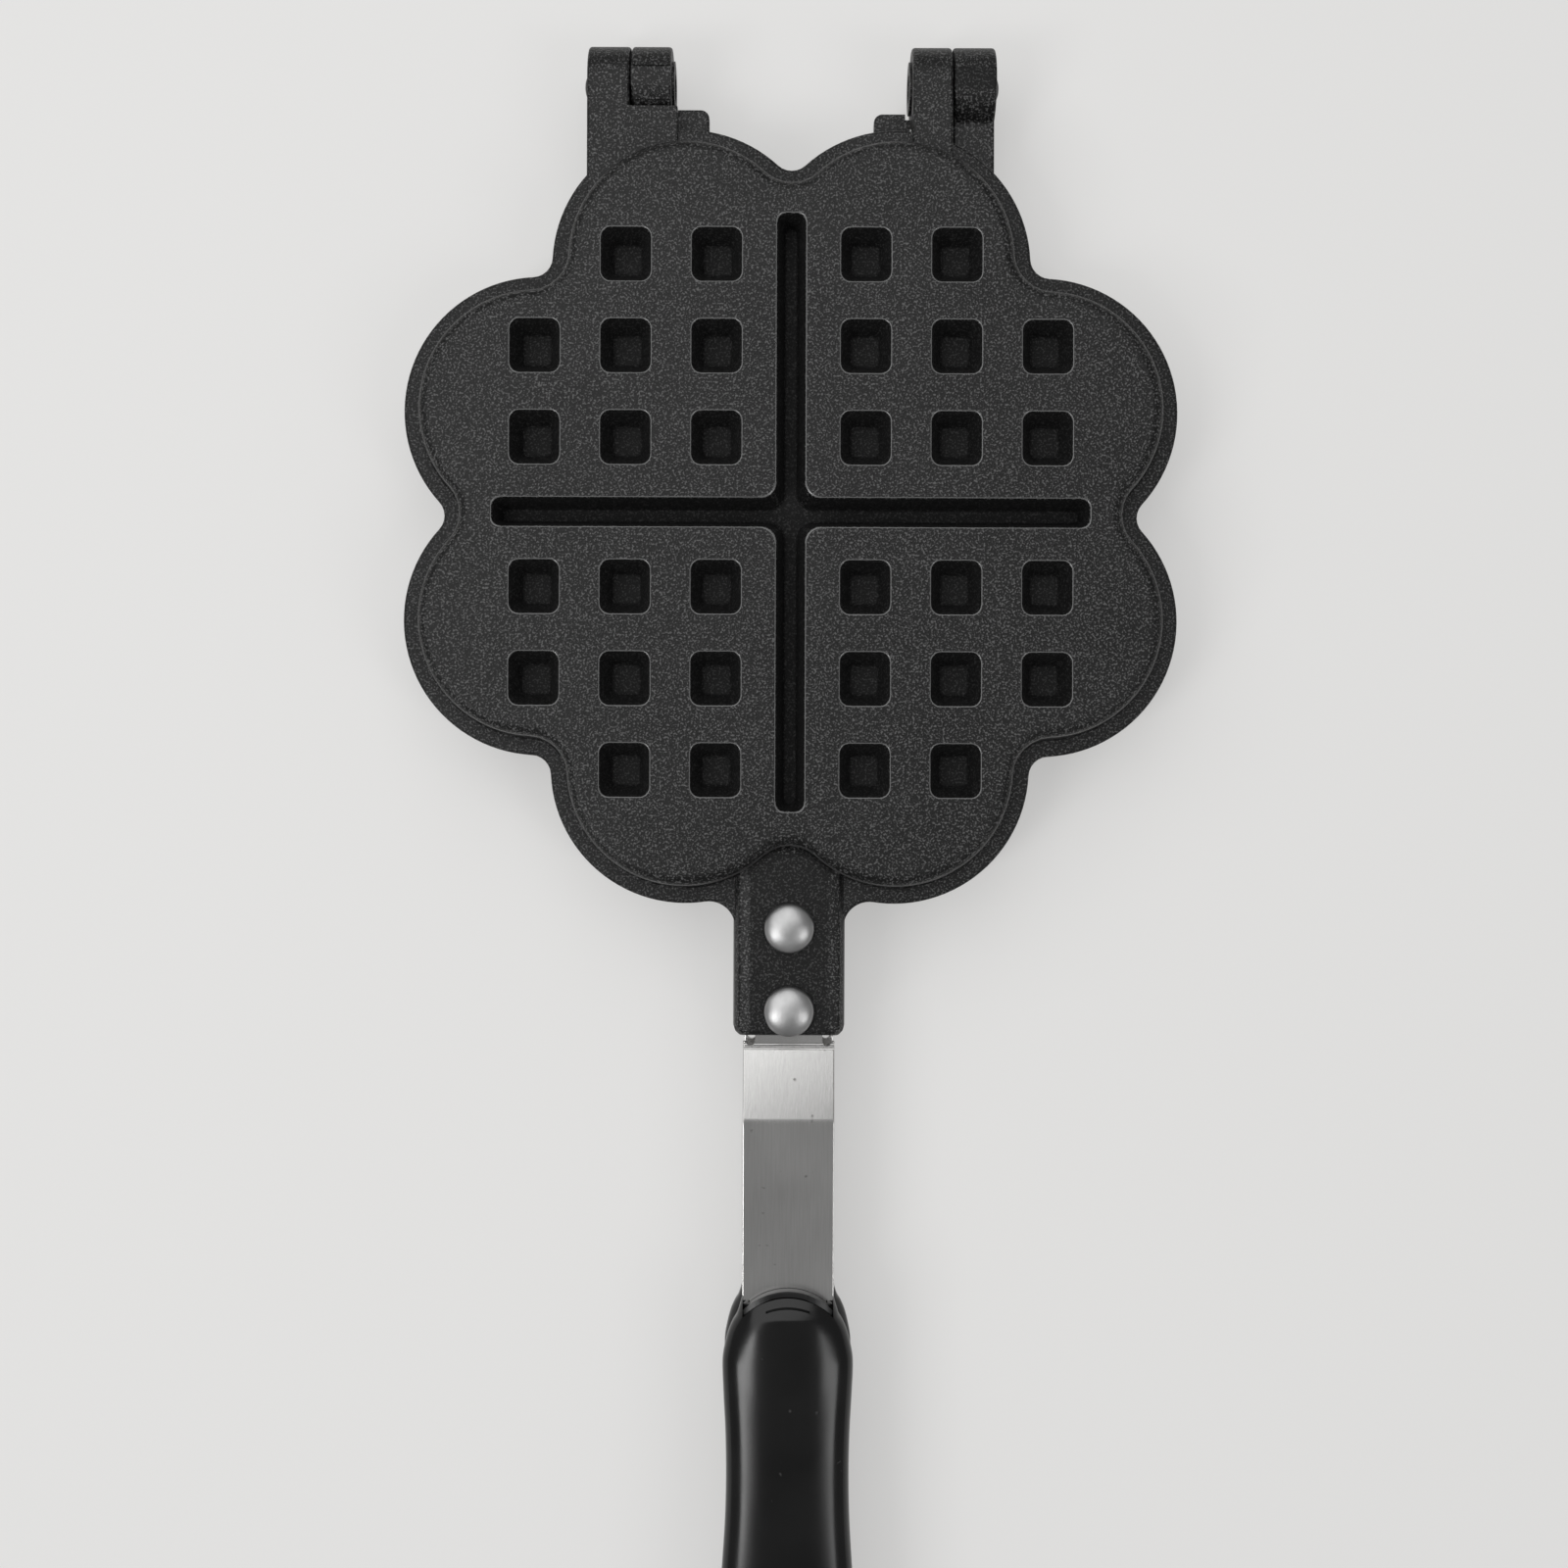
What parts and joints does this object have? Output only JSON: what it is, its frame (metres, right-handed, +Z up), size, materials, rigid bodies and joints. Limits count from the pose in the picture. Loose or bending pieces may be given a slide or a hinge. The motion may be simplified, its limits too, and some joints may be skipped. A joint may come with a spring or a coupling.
{
  "type": "waffle iron",
  "caption": "Stovetop heart waffle iron: hinged cast plates in a scalloped round outline with square pits and a cross groove, riveted steel straps and black moulded grips.",
  "frame": {"origin": "centre of the bounding box, at the height of the lower pan's flat outside that the closed iron rests on", "axes": "+Z up, +Y towards the hinge, so the handles run towards -Y, and +X to the right seen from the handle end"},
  "size_m": [0.178, 0.4102, 0.031],
  "materials": {
    "nonstick_coating": "die-cast with a black speckled non-stick coating",
    "blackened_steel": "black",
    "satin_aluminium": "satin",
    "brushed_strap": "brushed along its length",
    "collar_plastic": "moulded, half gloss",
    "grip_plastic": "moulded, gloss",
    "screw_steel": "plain"
  },
  "bodies": {
    "lower_half": {"lower_plate": "nonstick_coating", "lower_strap": "brushed_strap", "lower_rear_rivet": "satin_aluminium", "lower_front_rivet": "satin_aluminium", "lower_collar": "collar_plastic", "lower_grip": "grip_plastic", "lower_grip_screw": "screw_steel", "hinge_pin_left": "blackened_steel", "hinge_pin_right": "blackened_steel"},
    "upper_half": {"upper_plate": "nonstick_coating", "upper_strap": "brushed_strap", "upper_rear_rivet": "satin_aluminium", "upper_front_rivet": "satin_aluminium", "upper_collar": "collar_plastic", "upper_grip": "grip_plastic", "upper_grip_screw": "screw_steel"}
  },
  "joints": [
    {"name": "lid_hinge", "type": "hinge", "parent": "lower_half", "child": "upper_half", "pos_m": [0, 0.19598, 0.0155], "axis": [-1, 0, 0], "range_deg": [0, 180]}
  ]
}
